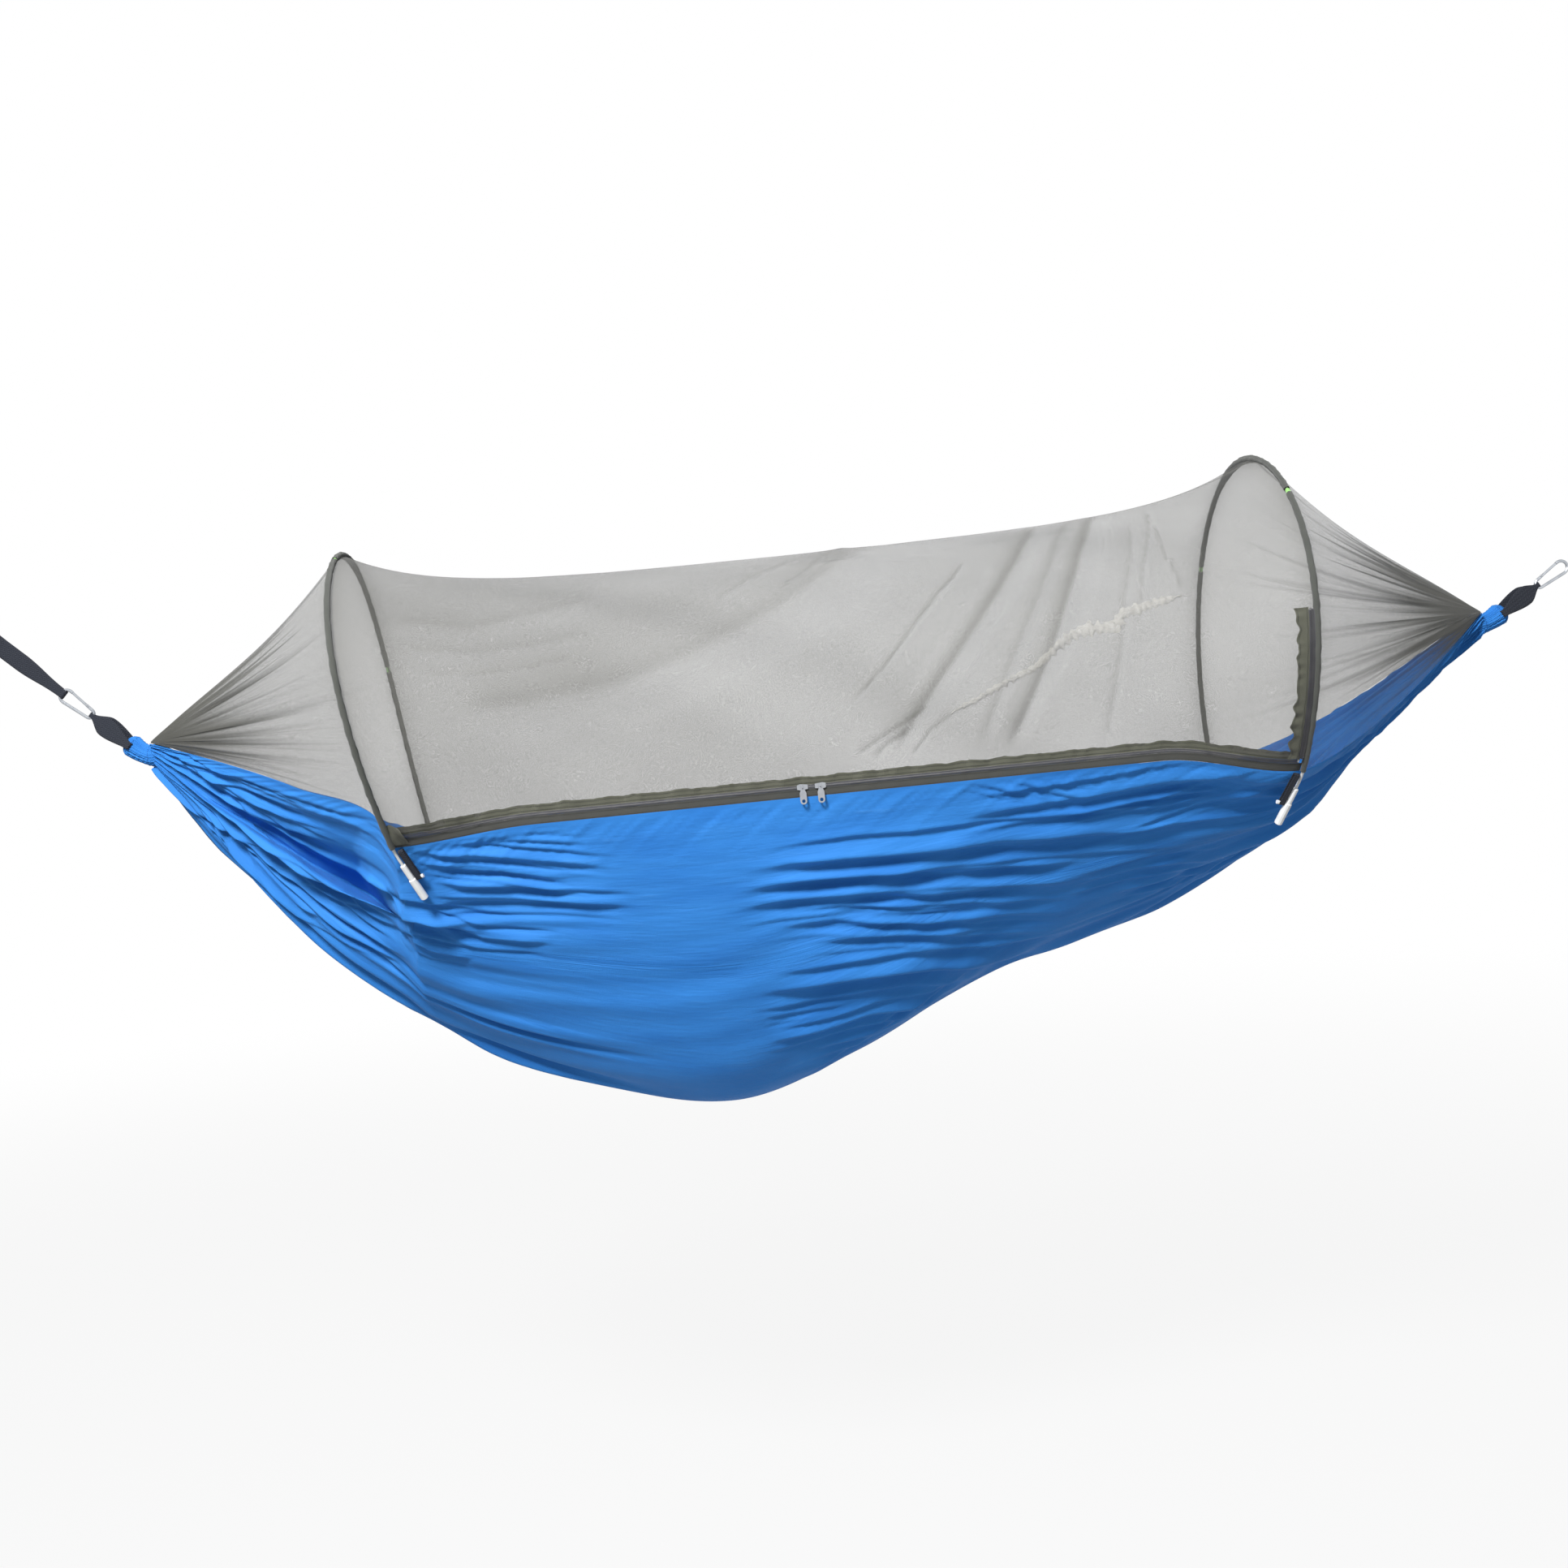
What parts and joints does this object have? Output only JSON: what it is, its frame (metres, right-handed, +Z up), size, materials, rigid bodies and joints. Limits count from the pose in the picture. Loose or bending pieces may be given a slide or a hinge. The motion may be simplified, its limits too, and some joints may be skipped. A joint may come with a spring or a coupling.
{
  "type": "hammock tent",
  "caption": "Camping hammock with a gathered nylon bed, a zipped insect net over sprung hoops, end webbing loops with carabiners and a tree strap.",
  "frame": {"origin": "where the outer eye of the left tree strap bears on its anchor", "axes": "+X along the hammock from the left strap to the right end, -Y towards the zip side, +Z up"},
  "size_m": [2.8035, 0.8888, 1.0234],
  "materials": {
    "blue_nylon": "woven ripstop nylon, slight sheen",
    "grey_net": "fine insect netting",
    "sleeve_cloth": "matt woven sleeve",
    "tape_cloth": "woven zip tape",
    "tooth_plastic": "satin nylon coil",
    "black_webbing": "woven webbing",
    "white_plastic": "moulded white plastic",
    "lime_plastic": "lime anodised ferrule",
    "pale_rod": "pale glass-fibre rod",
    "bright_metal": "bright satin metal"
  },
  "bodies": {
    "hammock": {"bed_fabric": "blue_nylon", "net_cone_left": "grey_net", "net_centre": "grey_net", "net_cone_right": "grey_net", "end_channel_left": "blue_nylon", "end_channel_right": "blue_nylon", "webbing_loop_left": "black_webbing", "webbing_loop_right": "black_webbing", "carabiner_left": "bright_metal", "carabiner_pin_left": "bright_metal", "carabiner_right": "bright_metal", "carabiner_pin_right": "bright_metal", "tree_strap": "black_webbing", "zip_tape_lower": "tape_cloth", "zip_teeth_lower": "tooth_plastic", "zip_teeth_upper": "tooth_plastic", "zip_tape_upper": "tape_cloth", "zip_stop_left": "bright_metal", "zip_stop_right": "bright_metal", "elastic_loop_left_near": "black_webbing", "elastic_loop_left_far": "black_webbing", "elastic_loop_right_near": "black_webbing", "elastic_loop_right_far": "black_webbing"},
    "hoop_left": {"rod_sleeve_left_near": "sleeve_cloth", "rod_sleeve_left_top": "sleeve_cloth", "rod_sleeve_left_far": "sleeve_cloth", "rod_left_near": "pale_rod", "rod_left_top": "pale_rod", "rod_left_far": "pale_rod", "ferrule_left_near": "lime_plastic", "ferrule_left_far": "lime_plastic", "rod_fitting_left_near": "white_plastic", "rod_fitting_left_far": "white_plastic"},
    "hoop_right": {"rod_sleeve_right_near": "sleeve_cloth", "rod_sleeve_right_top": "sleeve_cloth", "rod_sleeve_right_far": "sleeve_cloth", "rod_right_near": "pale_rod", "rod_right_top": "pale_rod", "rod_right_far": "pale_rod", "ferrule_right_near": "lime_plastic", "ferrule_right_far": "lime_plastic", "rod_fitting_right_near": "white_plastic", "rod_fitting_right_far": "white_plastic", "zip_leg_tape": "tape_cloth", "zip_leg_teeth": "tooth_plastic"},
    "zip_slider_left": {"zip_slider_left": "bright_metal"},
    "zip_slider_right": {"zip_slider_right": "bright_metal"},
    "pull_tab_left": {"pull_tab_left": "bright_metal"},
    "pull_tab_right": {"pull_tab_right": "bright_metal"},
    "gate_left": {"carabiner_gate_left": "bright_metal"},
    "gate_right": {"carabiner_gate_right": "bright_metal"}
  },
  "joints": [
    {"name": "hoop_left_lean", "type": "hinge", "parent": "hammock", "child": "hoop_left", "pos_m": [0.71521, 0, -0.44732], "axis": [-0.0827, 0.9966, 0], "range_deg": [-4, 4], "stiffness_Nm_per_rad": 15, "deforming": ["net_cone_left", "net_centre", "elastic_loop_left_near", "elastic_loop_left_far"]},
    {"name": "hoop_right_lean", "type": "hinge", "parent": "hammock", "child": "hoop_right", "pos_m": [2.19121, 0, -0.46932], "axis": [0.0827, 0.9966, 0], "range_deg": [-4, 4], "stiffness_Nm_per_rad": 15, "deforming": ["net_cone_right", "net_centre", "elastic_loop_right_near", "elastic_loop_right_far"]},
    {"name": "zip_slider_left_run", "type": "slide", "parent": "hammock", "child": "zip_slider_left", "axis": [-1, 0, 0], "range_m": [0, 0.38]},
    {"name": "zip_slider_right_run", "type": "slide", "parent": "hammock", "child": "zip_slider_right", "axis": [1, 0, 0], "range_m": [0, 0.5]},
    {"name": "pull_tab_left_swing", "type": "hinge", "parent": "zip_slider_left", "child": "pull_tab_left", "pos_m": [1.38021, -0.3345, -0.41662], "axis": [-1, 0, 0], "range_deg": [0, 150]},
    {"name": "pull_tab_right_swing", "type": "hinge", "parent": "zip_slider_right", "child": "pull_tab_right", "pos_m": [1.40821, -0.3345, -0.41662], "axis": [-1, 0, 0], "range_deg": [0, 150]},
    {"name": "gate_left_open", "type": "hinge", "parent": "hammock", "child": "gate_left", "pos_m": [0.18503, 0, -0.16107], "axis": [0, -1, 0], "range_deg": [0, 25], "stiffness_Nm_per_rad": 0.3, "springref_deg": -17.19},
    {"name": "gate_right_open", "type": "hinge", "parent": "hammock", "child": "gate_right", "pos_m": [2.74123, 0, -0.18183], "axis": [0, 1, 0], "range_deg": [0, 25], "stiffness_Nm_per_rad": 0.3, "springref_deg": -17.19}
  ]
}
